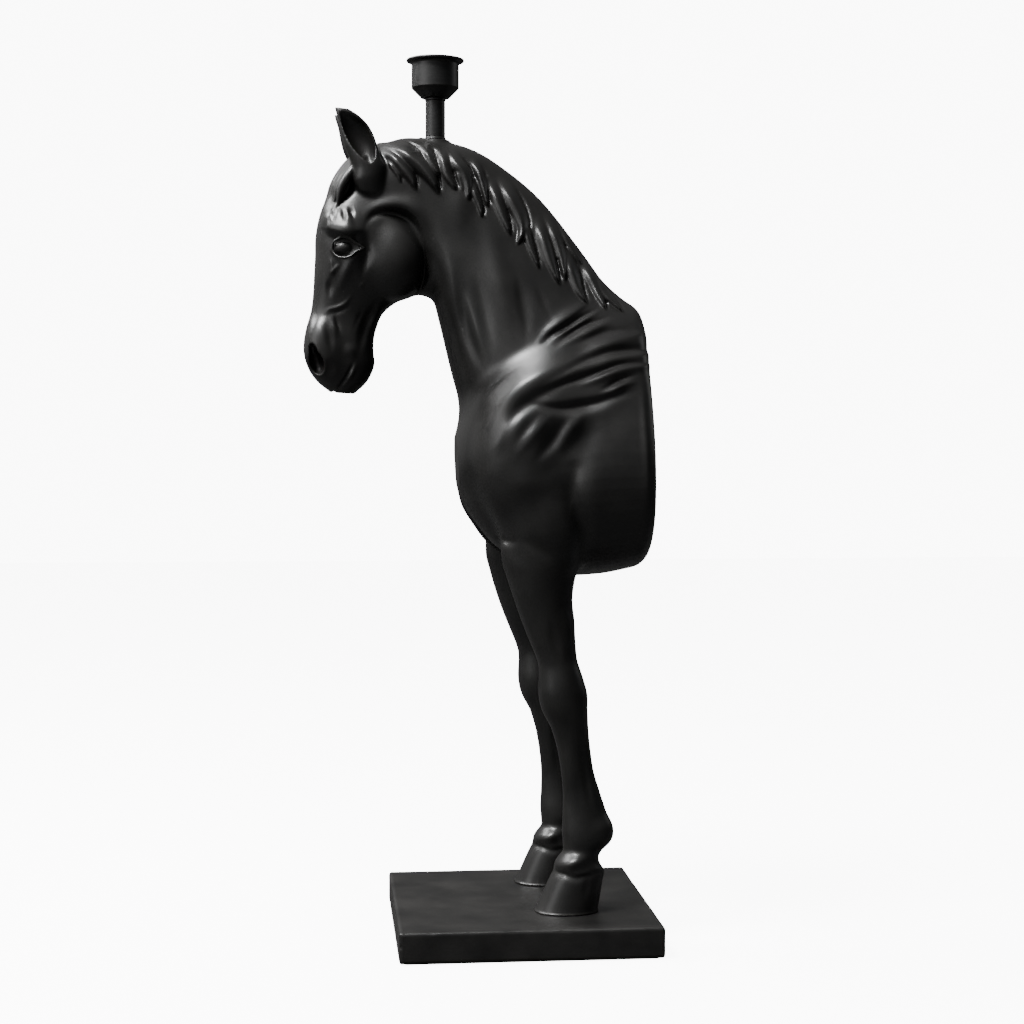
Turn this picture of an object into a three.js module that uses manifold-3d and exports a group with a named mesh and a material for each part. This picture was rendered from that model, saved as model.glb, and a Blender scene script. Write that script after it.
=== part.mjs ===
// A table lamp base in the form of the front half of a horse, standing against a wall.
// A hollow cast-resin horse, open at its flat back and closed there by a panel, stands on a
// square slab. Two studs hold its hooves to the slab. A stem tube on the crest of the neck
// carries a flared cup with a screw lampholder, and a shade ring is threaded on the lampholder.
//
// Millimetres, +Z up. The horse faces -Y, its back is at +Y, and X = 0 is its middle plane.
// The origin is on the underside, in the middle plane, halfway along the slab.
import * as THREE from "three";
import { mergeVertices } from "three/addons/utils/BufferGeometryUtils.js";
import Module from "manifold-3d";

const wasm = await Module();
wasm.setup();

// ---------------------------------------------------------------- driving dimensions
const GAP = 0.3; // air between pieces that touch
const SLAB = { length: 256, width: 272, thick: 30.5, centreX: 8, corner: 2.5 };
const FELT = { thick: 1, inset: 5, corner: 4, gap: 0.05 };
const SLAB_TOP = FELT.thick + SLAB.thick;
const SOLE_Z = SLAB_TOP + 0.2; // underside of the hooves
const BACK_Y = 127; // the flat back of the horse
const WALL = 9; // thickness of the resin
const LEG_X = 66; // from the middle plane to the middle of a leg
const LEG_SHIFT = { left: 2, right: -5 }; // one leg stands a little ahead of the other
const STEM_Y = -84; // the stem's axis
const SEAT = { z: 799.3, r: 11.3, deep: 20 }; // where the stem stands on the crest
const PAD = { z: 785, top: 796, r: 15, well: 13, wellDeep: 18 }; // inside the neck, for the nut
const STUD = { r: 4, y: 54, from: 2, to: 190 };
const STUD_NUT = { across: 13, high: 6.5 };
const STUD_WASHER = { r: 9, high: 1.6 };
const COUNTERBORE = { r: 11.5, deep: 12 };
const NIPPLE = { r: 5, bore: 3.5, from: 772, to: 849.5 };
const NECK_WASHER = { r: 11, high: 1.6 };
const NECK_NUT = { across: 14, high: 5, below: 7 };
const COLLAR = { r: 10.9, edge: 10.2, slope: 0.9 };
const TUBE = { r: 9.9, wall: 1.5, from: 802.7, to: 838.2 };
const TOP_RING_R = 10.5;
const CUP = { top: 880, bottom: 841, neck: 14, r: 23.8, shoulder: 851, lip: 29, wall: 1.2 };
const CUP_WASHER = { r: 9, high: 0.8 };
const CUP_NUT = { across: 14, high: 2.6 };
const HOLDER = { r: 19.5, foot: 20.5, from: 846.5, step: 860, top: 879.2, bore: 14.3, floor: 856 };
const HOLDER_WELL = { r: 9.4, deep: 4 }; // under the lampholder, for the nipple's end
const TERMINAL = { x: 11.5, head: 2.6, headHigh: 1.3, shank: 1.5 };
const SHELL = { r: 13.1, wave: 0.35, wall: 0.35, turns: 4, steps: 4 };
const CONTACT = { r: 3.2, dome: 4.4, travel: 1.8 };
const SHADE_RING = { high: 12, skirt: 1.5, flange: 3 };
const PANEL = { y: 119, thick: 4, inset: 8.4, ledge: 16 };
const GLAND = { z: 400, r: 5.5, bore: 3.1, flange: 8.5, flangeHigh: 1.6, long: 14, proud: 2.8 };
const GLAND_NUT = { across: 15, high: 4, from: -9 };
const SCREW = { r: 1.7, head: 3.3, headHigh: 2.2, long: 15 };
const FLEX_R = 2.6;
const FAR = 400; // longer than any cut

// ---------------------------------------------------------------- the horse's sections
// Each section is an oval through two points of the side view, a and b as [y, z]. w is half its
// width, e makes it wider towards b (or towards a, if negative), and n over 2 squares it.
const TORSO = [
  { a: [127, 371], b: [127, 622], w: 100, e: -0.34, n: 2.1 },
  { a: [112, 368], b: [112, 629], w: 101, e: -0.34, n: 2.1 },
  { a: [80, 362], b: [80, 638], w: 101, e: -0.32, n: 2.1 },
  { a: [40, 361], b: [40, 624], w: 99, e: -0.26, n: 2.1 },
  { a: [10, 370], b: [10, 594], w: 95, e: -0.18, n: 2.1 },
  { a: [-15, 384], b: [-15, 566], w: 88, e: -0.1, n: 2.1 },
  { a: [-34, 400], b: [-34, 540], w: 74, e: -0.05 },
  { a: [-50, 425], b: [-50, 516], w: 54 },
  { a: [-59, 450], b: [-59, 500], w: 30 },
];
const NECK = [
  { a: [-40, 440], b: [127, 585], w: 80 },
  { a: [-56, 490], b: [121, 621], w: 72, e: -0.1 },
  { a: [-57, 523], b: [97, 643], w: 64, e: -0.2 },
  { a: [-70, 569], b: [63, 690], w: 54, e: -0.28 },
  { a: [-82, 619], b: [22, 741], w: 46, e: -0.28 },
  { a: [-93, 658], b: [-19, 773], w: 41, e: -0.25 },
  { a: [-112, 690], b: [-50, 789], w: 37, e: -0.2 },
  { a: [-128, 705], b: [-84, 799], w: 33, e: -0.15 },
  { a: [-145, 715], b: [-118, 799], w: 30, e: -0.1 },
  { a: [-160, 730], b: [-145, 790], w: 24 },
];
const HEAD = [
  { a: [-142, 796], b: [-118, 792], w: 14 },
  { a: [-158, 786], b: [-105, 770], w: 27 },
  { a: [-176, 769], b: [-98, 745], w: 33, e: -0.05 },
  { a: [-187, 756], b: [-96, 722], w: 37, e: -0.08 },
  { a: [-197, 735], b: [-95, 703], w: 39, e: -0.1 },
  { a: [-202, 718], b: [-94, 685], w: 39, e: -0.12 },
  { a: [-205, 700], b: [-93, 668], w: 38, e: -0.12 },
  { a: [-205.5, 682], b: [-97, 652], w: 36, e: -0.08 },
  { a: [-206, 663], b: [-108, 642], w: 32 },
  { a: [-207, 645], b: [-124, 636], w: 27, e: 0.05 },
  { a: [-209.5, 628], b: [-137, 625], w: 24, e: 0.08 },
  { a: [-213, 614], b: [-143, 612], w: 22.5, e: 0.05 },
  { a: [-216, 599], b: [-146, 600], w: 23.5 },
  { a: [-216.5, 587], b: [-146.5, 587], w: 24.5, e: -0.05 },
  { a: [-214, 576], b: [-145.5, 575], w: 24.5, e: -0.05 },
  { a: [-208.5, 564.5], b: [-149, 564], w: 23 },
  { a: [-200, 555], b: [-157, 554.5], w: 19 },
  { a: [-188, 548], b: [-167, 547], w: 11 },
];
const LEG = [
  { a: [-20, 440], b: [62, 440], w: 24 },
  { a: [-28, 405], b: [60, 410], w: 31 },
  { a: [-24, 380], b: [54, 380], w: 31 },
  { a: [-19, 362], b: [48, 360], w: 30 },
  { a: [-12, 340], b: [45.5, 340], w: 27 },
  { a: [-5, 320], b: [47.5, 320], w: 24.5 },
  { a: [3, 300], b: [48.5, 300], w: 22 },
  { a: [10.5, 281], b: [50.5, 280], w: 20.5 },
  { a: [14.5, 263], b: [55.5, 262], w: 21 },
  { a: [16, 246], b: [60, 247], w: 22.5 },
  { a: [18.5, 231], b: [60.6, 231], w: 22 },
  { a: [25, 212], b: [61.6, 212], w: 18.5 },
  { a: [30.7, 192], b: [63.6, 192], w: 15.5 },
  { a: [34.5, 169], b: [67, 170], w: 14 },
  { a: [36.3, 148], b: [73, 150], w: 14 },
  { a: [36, 128], b: [79.5, 130], w: 15.5 },
  { a: [35.3, 112], b: [84.5, 112], w: 18 },
  { a: [36, 101], b: [83.5, 102], w: 18.5 },
  { a: [36.5, 91], b: [75.5, 92], w: 17.5 },
  { a: [33.5, 84], b: [72, 85], w: 19 },
  { a: [29, 77], b: [73.5, 78], w: 21.5 },
  { a: [25.5, 69], b: [77.5, 71], w: 23.5 },
  { a: [20.5, 59], b: [75.5, 60], w: 24 },
  { a: [8.5, SOLE_Z], b: [70.5, SOLE_Z], w: 26, n: 2.2 },
];
const EAR = [
  { a: [-158, 742], b: [-134, 752], w: 10, x: 20 },
  { a: [-163, 762], b: [-137, 766], w: 10.5, x: 22 },
  { a: [-171, 784], b: [-141, 784], w: 9.5, x: 24 },
  { a: [-177, 803], b: [-145, 799], w: 7.5, x: 25 },
  { a: [-181, 815], b: [-154, 813], w: 5, x: 26 },
  { a: [-183, 825], b: [-170, 822], w: 2.5, x: 26 },
];

// ---------------------------------------------------------------- solids
function toSolid(geometry) {
  const plain = geometry.clone();
  for (const name of ["normal", "uv"]) plain.deleteAttribute(name);
  const merged = mergeVertices(plain, 1e-4);
  return new wasm.Manifold(
    new wasm.Mesh({
      numProp: 3,
      vertProperties: merged.attributes.position.array,
      triVerts: new Uint32Array(merged.index.array),
    }),
  );
}

function toGeometry(solid) {
  const { vertProperties, triVerts, numProp, numVert } = solid.getMesh();
  const positions = new Float32Array(numVert * 3);
  for (let i = 0; i < numVert; i++)
    positions.set(vertProperties.subarray(i * numProp, i * numProp + 3), i * 3);
  const geometry = new THREE.BufferGeometry();
  geometry.setAttribute("position", new THREE.BufferAttribute(positions, 3));
  geometry.setIndex(new THREE.BufferAttribute(triVerts, 1));
  const shown = geometry.toNonIndexed();
  shown.computeVertexNormals();
  return shown;
}

function ovalRing({ a, b, w, e = 0, n = 2, x = 0 }, segments) {
  const points = [];
  for (let i = 0; i < segments; i++) {
    const turn = (2 * Math.PI * i) / segments;
    const [c, s] = [Math.cos(turn), Math.sin(turn)];
    const u = Math.sign(c) * Math.abs(c) ** (2 / n);
    const v = Math.sign(s) * Math.abs(s) ** (2 / n);
    const along = (1 + u) / 2;
    points.push([
      x + w * v * (1 + e * u),
      a[0] + (b[0] - a[0]) * along,
      a[1] + (b[1] - a[1]) * along,
    ]);
  }
  return points;
}

// A closed skin over rings of equally many points, with a fan over each end.
function skin(rings) {
  const count = rings[0].length;
  const middle = (ring) =>
    [0, 1, 2].map((k) => ring.reduce((sum, p) => sum + p[k], 0) / ring.length);
  const points = [...rings.flat(), middle(rings[0]), middle(rings.at(-1))];
  const [first, last] = [points.length - 2, points.length - 1];
  const end = (rings.length - 1) * count;
  const faces = [];
  for (let i = 0; i < count; i++) {
    const j = (i + 1) % count;
    faces.push([first, j, i], [last, end + i, end + j]);
    for (let r = 0; r < rings.length - 1; r++) {
      const [p, q] = [r * count, (r + 1) * count];
      faces.push([p + i, p + j, q + j], [p + i, q + j, q + i]);
    }
  }
  const geometry = new THREE.BufferGeometry();
  geometry.setAttribute("position", new THREE.Float32BufferAttribute(points.flat(), 3));
  geometry.setIndex(faces.flat());
  const solid = toSolid(geometry);
  if (solid.volume() > 0) return solid;
  geometry.setIndex(faces.map((f) => f.toReversed()).flat());
  return toSolid(geometry);
}

const loft = (sections, segments) =>
  skin(sections.map((section) => ovalRing(section, segments)));

// The same sections, moved in by a wall.
function inset(sections, wall) {
  return sections.map((s) => {
    const [dy, dz] = [s.b[0] - s.a[0], s.b[1] - s.a[1]];
    const k = wall / Math.hypot(dy, dz);
    return {
      ...s,
      a: [s.a[0] + dy * k, s.a[1] + dz * k],
      b: [s.b[0] - dy * k, s.b[1] - dz * k],
      w: s.w - wall,
    };
  });
}

const moved = (sections, { x = 0, y = 0 }) =>
  sections.map((s) => ({
    ...s,
    x: (s.x ?? 0) + x,
    a: [s.a[0] + y, s.a[1]],
    b: [s.b[0] + y, s.b[1]],
  }));
const mirrored = (sections) => sections.map((s) => ({ ...s, x: -(s.x ?? 0) }));

// A turned body about an upright axis through x, y. The outline is [radius, z] points.
function turned(outline, { x = 0, y = 0, segments = 32 } = {}) {
  const profile = outline.map(([r, z]) => new THREE.Vector2(r, z));
  const geometry = new THREE.LatheGeometry([...profile, profile[0]], segments);
  geometry.rotateX(Math.PI / 2).translate(x, y, 0);
  const solid = toSolid(geometry);
  if (solid.volume() > 0) return solid;
  return new wasm.Manifold(flipped(solid));
}

function flipped(solid) {
  const mesh = solid.getMesh();
  const triVerts = mesh.triVerts.slice();
  for (let i = 0; i < triVerts.length; i += 3)
    [triVerts[i + 1], triVerts[i + 2]] = [triVerts[i + 2], triVerts[i + 1]];
  return new wasm.Mesh({ numProp: 3, vertProperties: mesh.vertProperties, triVerts });
}

const disc = (r, from, to, place) =>
  turned([[0, from], [r, from], [r, to], [0, to]], place);
const tube = (bore, r, from, to, place) =>
  turned([[bore, from], [r, from], [r, to], [bore, to]], place);

function extruded(shape, from, high, place = {}) {
  const geometry = new THREE.ExtrudeGeometry(shape, {
    depth: high,
    bevelEnabled: false,
    curveSegments: 12,
  });
  return toSolid(geometry.translate(place.x ?? 0, place.y ?? 0, from));
}

function hexagon(across, bore) {
  const shape = new THREE.Shape();
  for (let i = 0; i < 6; i++) {
    const turn = (Math.PI * i) / 3;
    const r = across / 2 / Math.cos(Math.PI / 6);
    shape[i ? "lineTo" : "moveTo"](r * Math.cos(turn), r * Math.sin(turn));
  }
  shape.closePath();
  shape.holes.push(new THREE.Path().absarc(0, 0, bore, 0, 2 * Math.PI, true));
  return shape;
}

function roundedSlab(length, width, corner) {
  const [x, y, r] = [width / 2, length / 2, corner];
  const shape = new THREE.Shape();
  shape.absarc(x - r, -y + r, r, -Math.PI / 2, 0);
  shape.absarc(x - r, y - r, r, 0, Math.PI / 2);
  shape.absarc(-x + r, y - r, r, Math.PI / 2, Math.PI);
  shape.absarc(-x + r, -y + r, r, Math.PI, 1.5 * Math.PI);
  return shape;
}

// Turns a solid made about the z axis so that its z runs along y, and moves it to x, y, z.
function alongY(solid, x, y, z) {
  const geometry = toGeometry(solid).rotateX(-Math.PI / 2).translate(x, y, z);
  return toSolid(geometry);
}

function block(x, y, z, sizeX, sizeY, sizeZ) {
  return toSolid(new THREE.BoxGeometry(sizeX, sizeY, sizeZ).translate(x, y, z));
}

const join = (...solids) => solids.reduce((all, solid) => all.add(solid));

// ---------------------------------------------------------------- materials
const paint = (color, roughness, metalness = 0) =>
  new THREE.MeshStandardMaterial({ color, roughness, metalness });
const MATERIAL = {
  resin: paint(0x1b1a19, 0.42),
  slab: paint(0x2a2927, 0.55),
  stem: paint(0x222222, 0.5, 0.2),
  steel: paint(0xb4b6b8, 0.35, 0.9),
  brass: paint(0xc9a24c, 0.3, 0.9),
  phenolic: paint(0x141414, 0.35),
  felt: paint(0x1d1d1f, 0.95),
  board: paint(0x262422, 0.8),
  flex: paint(0x121212, 0.5),
};

const lamp = new THREE.Group();
function piece(name, solid, material) {
  const mesh = new THREE.Mesh(toGeometry(solid), MATERIAL[material]);
  mesh.name = name;
  lamp.add(mesh);
}

// ---------------------------------------------------------------- the base
const sides = [
  { side: "left", x: LEG_X, y: LEG_SHIFT.left },
  { side: "right", x: -LEG_X, y: LEG_SHIFT.right },
];

function makeBase() {
  const slabShape = roundedSlab(SLAB.length, SLAB.width, SLAB.corner);
  let slab = extruded(slabShape, FELT.thick, SLAB.thick, { x: SLAB.centreX });
  for (const { side, x, y } of sides) {
    const place = { x, y: STUD.y + y, segments: 20 };
    slab = slab
      .subtract(disc(STUD.r + GAP, -FAR, FAR, place))
      .subtract(disc(COUNTERBORE.r, -FAR, FELT.thick + COUNTERBORE.deep, place));
    const washerTop = FELT.thick + COUNTERBORE.deep - GAP;
    const washerLow = washerTop - STUD_WASHER.high;
    const nutLow = washerLow - GAP - STUD_NUT.high;
    const nut = hexagon(STUD_NUT.across, STUD.r + GAP);
    const washer = tube(STUD.r + GAP, STUD_WASHER.r, washerLow, washerTop, place);
    piece(`stud_${side}`, disc(STUD.r, STUD.from, STUD.to, place), "steel");
    piece(`stud_washer_${side}`, washer, "steel");
    piece(`stud_nut_${side}`, extruded(nut, nutLow, STUD_NUT.high, place), "steel");
  }
  const [feltLength, feltWidth] = [SLAB.length, SLAB.width].map((size) => size - 2 * FELT.inset);
  const feltShape = roundedSlab(feltLength, feltWidth, FELT.corner);
  const felt = extruded(feltShape, 0, FELT.thick - FELT.gap, { x: SLAB.centreX });
  piece("base_slab", slab, "slab");
  piece("felt_sheet", felt, "felt");
}

// ---------------------------------------------------------------- the horse casting
function makeCasting() {
  const legs = sides.map(({ x, y }) => loft(moved(LEG, { x, y }), 14));
  const body = join(loft(TORSO, 26), loft(NECK, 22), loft(HEAD, 20), ...legs);
  const ears = join(loft(EAR, 8), loft(mirrored(EAR), 8));
  const stem = { y: STEM_Y, segments: 20 };
  const seat = disc(SEAT.r, SEAT.z - SEAT.deep, SEAT.z, { ...stem, segments: 24 });
  const outside = join(body, ears, seat);

  const hollow = join(
    loft(inset(TORSO.slice(0, 7), PANEL.ledge), 18),
    loft(inset(NECK.slice(0, 9), WALL), 14),
  );
  const pad = disc(PAD.r, PAD.z, PAD.top, stem);
  const well = disc(PAD.well, PAD.z - PAD.wellDeep, PAD.z, stem);
  const nippleHole = disc(NIPPLE.r + GAP, NIPPLE.from - 12, SEAT.z + 5, { ...stem, segments: 16 });
  const pocket = panelOutline(0).subtract(before(PANEL.y));
  let casting = outside.subtract(hollow).add(pad).subtract(well).subtract(nippleHole);
  casting = casting.subtract(pocket).subtract(behind(BACK_Y));
  for (const { x, y } of sides) {
    const place = { x, y: STUD.y + y, segments: 12 };
    casting = casting.subtract(disc(STUD.r + GAP, 0, STUD.to + 2, place));
  }
  const screwHole = disc(SCREW.r + GAP, -SCREW.long, 1, { segments: 10 });
  for (const [x, z] of screwPlaces())
    casting = casting.subtract(alongY(screwHole, x, PANEL.y, z));
  piece("horse_casting", casting, "resin");
}

// All of the space on one side of a plane across y.
const before = (y) => block(0, y - FAR / 2, 500, FAR, FAR, 2 * FAR);
const behind = (y) => block(0, y + FAR / 2, 500, FAR, FAR, 2 * FAR);

// The panel's outline as a bar along y, the back section moved in by the rim and by extra.
function panelOutline(extra) {
  const back = inset([TORSO[0]], PANEL.inset + extra)[0];
  const at = (y) => ({ ...back, a: [y, back.a[1]], b: [y, back.b[1]] });
  return loft([at(BACK_Y - 40), at(BACK_Y + 40)], 32);
}

function screwPlaces() {
  const back = inset([TORSO[0]], (PANEL.inset + PANEL.ledge) / 2)[0];
  const middle = (back.a[1] + back.b[1]) / 2;
  const half = (back.b[1] - back.a[1]) / 2;
  return [
    [0, middle + half],
    [0, middle - half],
    [back.w, middle],
    [-back.w, middle],
  ];
}

function makeBack() {
  const [from, to] = [PANEL.y + GAP, PANEL.y + GAP + PANEL.thick];
  let panel = panelOutline(GAP).subtract(before(from)).subtract(behind(to));
  const [shank, head, headLow] = [SCREW.r, SCREW.head, -SCREW.headHigh];
  const screw = join(
    turned([[0, headLow], [shank, headLow], [head, 0], [0, 0]], { segments: 12 }),
    disc(shank, -SCREW.long, headLow + 0.2, { segments: 12 }),
  );
  const hole = [
    [0, -9],
    [shank + GAP, -9],
    [shank + GAP, headLow],
    [head + GAP, 0],
    [head + GAP, 1],
    [0, 1],
  ];
  const holeSolid = turned(hole, { segments: 12 });
  screwPlaces().forEach(([x, z], i) => {
    panel = panel.subtract(alongY(holeSolid, x, to, z));
    piece(`panel_screw_${i + 1}`, alongY(screw, x, to, z), "steel");
  });
  const glandHole = disc(GLAND.r + GAP, -20, 20, { segments: 20 });
  panel = panel.subtract(alongY(glandHole, 0, to, GLAND.z));
  piece("back_panel", panel, "board");

  const { bore, r, flange, flangeHigh, long, proud } = GLAND;
  const outline = [
    [bore, -long],
    [r, -long],
    [r, GAP],
    [flange, GAP],
    [flange, flangeHigh],
    [r + 0.5, proud],
    [bore, proud],
  ];
  const gland = turned(outline, { segments: 24 });
  const nut = extruded(hexagon(GLAND_NUT.across, r + GAP), GLAND_NUT.from, GLAND_NUT.high);
  piece("cable_gland", alongY(gland, 0, to, GLAND.z), "phenolic");
  piece("gland_nut", alongY(nut, 0, from, GLAND.z), "phenolic");
}

// ---------------------------------------------------------------- the stem and the cup
function makeStem() {
  const place = { y: STEM_Y, segments: 24 };
  const hole = NIPPLE.r + GAP;
  const under = PAD.z - GAP;
  const cupFloor = CUP.bottom + CUP.wall + GAP;
  const collar = [
    [hole, SEAT.z + GAP],
    [COLLAR.r, SEAT.z + GAP],
    [COLLAR.r, TUBE.from - GAP - COLLAR.slope],
    [COLLAR.edge, TUBE.from - GAP],
    [hole, TUBE.from - GAP],
  ];
  const topRing = tube(hole, TOP_RING_R, TUBE.to + GAP, CUP.bottom - GAP, place);
  const neckWasher = tube(hole, NECK_WASHER.r, under - NECK_WASHER.high, under, place);
  const neckNut = extruded(hexagon(NECK_NUT.across, hole), under - NECK_NUT.below, NECK_NUT.high, place);
  const cupWasher = tube(hole, CUP_WASHER.r, cupFloor, cupFloor + CUP_WASHER.high, place);
  const cupNutLow = cupFloor + CUP_WASHER.high + 0.2;
  const cupNut = extruded(hexagon(CUP_NUT.across, hole), cupNutLow, CUP_NUT.high, place);
  piece("threaded_nipple", tube(NIPPLE.bore, NIPPLE.r, NIPPLE.from, NIPPLE.to, place), "steel");
  piece("neck_washer", neckWasher, "steel");
  piece("neck_nut", neckNut, "steel");
  piece("stem_collar", turned(collar, place), "stem");
  piece("stem_tube", tube(TUBE.r - TUBE.wall, TUBE.r, TUBE.from, TUBE.to, place), "stem");
  piece("stem_top_ring", topRing, "stem");
  piece("cup_washer", cupWasher, "steel");
  piece("cup_nut", cupNut, "steel");
}

function makeCup() {
  const { top, bottom, neck, r, shoulder, lip, wall } = CUP;
  const outline = [
    [NIPPLE.r + GAP, bottom],
    [neck, bottom],
    [r, shoulder],
    [r, top - 4],
    [r + 1.2, top - 2.4],
    [lip - 0.4, top - 1],
    [lip, top - 0.5],
    [lip - 0.4, top],
    [r + 1.4, top],
    [r - wall, top - 2.5],
    [r - wall, shoulder + 0.5],
    [neck - 0.5, bottom + wall],
    [NIPPLE.r + GAP, bottom + wall],
  ];
  piece("lamp_cup", turned(outline, { y: STEM_Y, segments: 32 }), "stem");
}

// ---------------------------------------------------------------- the lampholder
function makeHolder() {
  const { r, foot, from, step, top, bore, floor } = HOLDER;
  const place = { y: STEM_Y, segments: 24 };
  const wellTop = from + HOLDER_WELL.deep;
  const outline = [
    [NIPPLE.bore, wellTop],
    [HOLDER_WELL.r, wellTop],
    [HOLDER_WELL.r, from],
    [foot - 3, from],
    [foot, from + 5],
    [foot, step],
    [r, step],
    [r, top],
    [bore + 1.2, top],
    [bore, top - 1],
    [bore, floor],
    [NIPPLE.bore, floor],
  ];
  let holder = turned(outline, place);
  const { head, headHigh, shank } = TERMINAL;
  [1, -1].forEach((sign, i) => {
    const at = { x: sign * TERMINAL.x, y: STEM_Y, segments: 12 };
    const headLow = floor + GAP;
    const screw = join(
      disc(head, headLow, headLow + headHigh, at),
      disc(shank, from + 3, headLow + 0.2, at),
    );
    holder = holder.subtract(disc(shank + GAP, from + 2, floor + 2, at));
    piece(`terminal_screw_${i + 1}`, screw, "brass");
  });
  piece("lampholder_body", holder, "phenolic");
  makeShell(floor + 2.2, top - 3);
}

// The screw shell is rolled with a round thread.
function makeShell(low, high) {
  const { r, wave, wall, turns, steps } = SHELL;
  const outer = Array.from({ length: turns * steps + 1 }, (_, i) => {
    const z = low + ((high - low) * i) / (turns * steps);
    return [r + wave * Math.cos((2 * Math.PI * i) / steps), z];
  });
  const inner = outer.map(([radius, z]) => [radius - wall, z]).toReversed();
  piece("screw_shell", turned([...outer, ...inner], { y: STEM_Y, segments: 20 }), "brass");
}

// A sprung plunger in the middle of the lampholder's floor.
function makeContact() {
  const { floor, from } = HOLDER;
  const { r, dome, travel } = CONTACT;
  const low = from + HOLDER_WELL.deep + travel + GAP;
  const outline = [
    [0, low],
    [r, low],
    [r, floor + dome - 1.6],
    [r * 0.7, floor + dome - 0.5],
    [0, floor + dome],
  ];
  piece("centre_contact", turned(outline, { y: STEM_Y, segments: 16 }), "brass");
}

// The ring stands on the lampholder's step and fills the space between it and the cup.
function makeShadeRing() {
  const inside = HOLDER.r + GAP;
  const outside = CUP.r - CUP.wall - GAP;
  const { high, skirt, flange } = SHADE_RING;
  const [low, top] = [HOLDER.step + GAP, HOLDER.step + high];
  const outline = [
    [inside, low],
    [outside, low],
    [outside, low + flange],
    [inside + skirt, low + flange + 1],
    [inside + skirt, top],
    [inside, top],
  ];
  piece("shade_ring", turned(outline, { y: STEM_Y, segments: 28 }), "phenolic");
}

// ---------------------------------------------------------------- the flex inside
function makeFlex() {
  const start = PANEL.y + PANEL.thick - GLAND.long;
  const route = [
    [start, GLAND.z],
    [start - 20, GLAND.z + 1],
    [60, 430],
    [44, 500],
    [34, 580],
    [-4, 660],
    [-50, 715],
    [-76, 745],
    [STEM_Y, 775],
    [STEM_Y, 800],
    [STEM_Y, HOLDER.from + HOLDER_WELL.deep - GAP],
  ];
  const curve = new THREE.CatmullRomCurve3(
    route.map(([y, z]) => new THREE.Vector3(0, y, z)),
    false,
    "centripetal",
  );
  const section = new THREE.Shape().absarc(0, 0, FLEX_R, 0, 2 * Math.PI);
  const geometry = new THREE.ExtrudeGeometry(section, {
    steps: 32,
    extrudePath: curve,
    curveSegments: 4,
  });
  const solid = toSolid(geometry);
  piece("inner_flex", solid.volume() > 0 ? solid : new wasm.Manifold(flipped(solid)), "flex");
}

makeBase();
makeCasting();
makeBack();
makeStem();
makeCup();
makeHolder();
makeContact();
makeShadeRing();
makeFlex();

export default lamp;
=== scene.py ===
"""The looks of the horse lamp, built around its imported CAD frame.

The horse is sculpted as a signed distance field, "clay", on a grid over its left half (x >= 0):
lofts and rounded blobs are blended into it, strokes drawn in the side view raise or sink its
sides, and the result is mirrored and turned into one mesh. Sculpting is in millimetres, in the
CAD's own frame: +Z up, the horse faces -Y, its flat back is at +Y.
"""
import math

import bmesh
import bpy
import numpy as np
import openvdb
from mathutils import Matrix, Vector, noise


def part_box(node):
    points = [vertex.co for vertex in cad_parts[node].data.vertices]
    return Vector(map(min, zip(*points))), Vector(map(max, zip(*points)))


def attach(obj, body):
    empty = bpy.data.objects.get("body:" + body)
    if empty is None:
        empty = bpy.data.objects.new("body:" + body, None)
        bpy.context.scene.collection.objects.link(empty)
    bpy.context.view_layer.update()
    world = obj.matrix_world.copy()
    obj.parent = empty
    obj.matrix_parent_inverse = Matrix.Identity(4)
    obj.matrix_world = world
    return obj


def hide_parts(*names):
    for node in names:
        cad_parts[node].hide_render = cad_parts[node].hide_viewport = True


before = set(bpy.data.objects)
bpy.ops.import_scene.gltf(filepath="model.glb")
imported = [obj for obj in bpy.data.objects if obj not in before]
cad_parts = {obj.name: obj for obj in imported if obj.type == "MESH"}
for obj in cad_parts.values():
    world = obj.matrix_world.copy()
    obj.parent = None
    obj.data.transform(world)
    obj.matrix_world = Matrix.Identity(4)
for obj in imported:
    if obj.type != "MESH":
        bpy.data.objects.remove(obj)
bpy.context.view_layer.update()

MM = 0.001
STEP = 1.0  # mm between the fine clay's samples
REACH = 34.0  # how far from the surface the rough clay knows its distance, in mm
NEAR = 16.0  # the same for the fine clay


# ---- curves
def spline(points, per=8):
    """A smooth curve through rows of numbers, with `per` steps between two of them."""
    p = np.asarray(points, float)
    p = np.vstack([2 * p[0] - p[1], p, 2 * p[-1] - p[-2]])
    t = np.linspace(0, 1, per, endpoint=False)[:, None]
    rows = []
    for a, b, c, d in zip(p[:-3], p[1:-2], p[2:-1], p[3:]):
        curve = 2 * b + (c - a) * t + (2 * a - 5 * b + 4 * c - d) * t**2
        rows.append(0.5 * (curve + (3 * b - a - 3 * c + d) * t**3))
    return np.vstack(rows + [p[-2:-1]])


def ramp(value, low, high):
    """0 below low, 1 above high, smooth between."""
    t = np.clip((value - low) / (high - low), 0, 1)
    return t * t * (3 - 2 * t)


# ---- clay
def blend_union(a, b, k):
    h = np.clip(0.5 + 0.5 * (b - a) / k, 0, 1)
    return b + (a - b) * h - k * h * (1 - h)


def blend_cut(a, b, k):
    return -blend_union(-a, b, k)


def turned_axes(turn):
    """The axes of a frame turned by angles in degrees about X, then Y, then Z."""
    axes = np.eye(3)
    for k, angle in enumerate(turn):
        c, s = math.cos(math.radians(angle)), math.sin(math.radians(angle))
        i, j = (k + 1) % 3, (k + 2) % 3
        spin = np.eye(3)
        spin[i, i], spin[i, j], spin[j, i], spin[j, j] = c, -s, s, c
        axes = spin @ axes
    return axes


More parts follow.
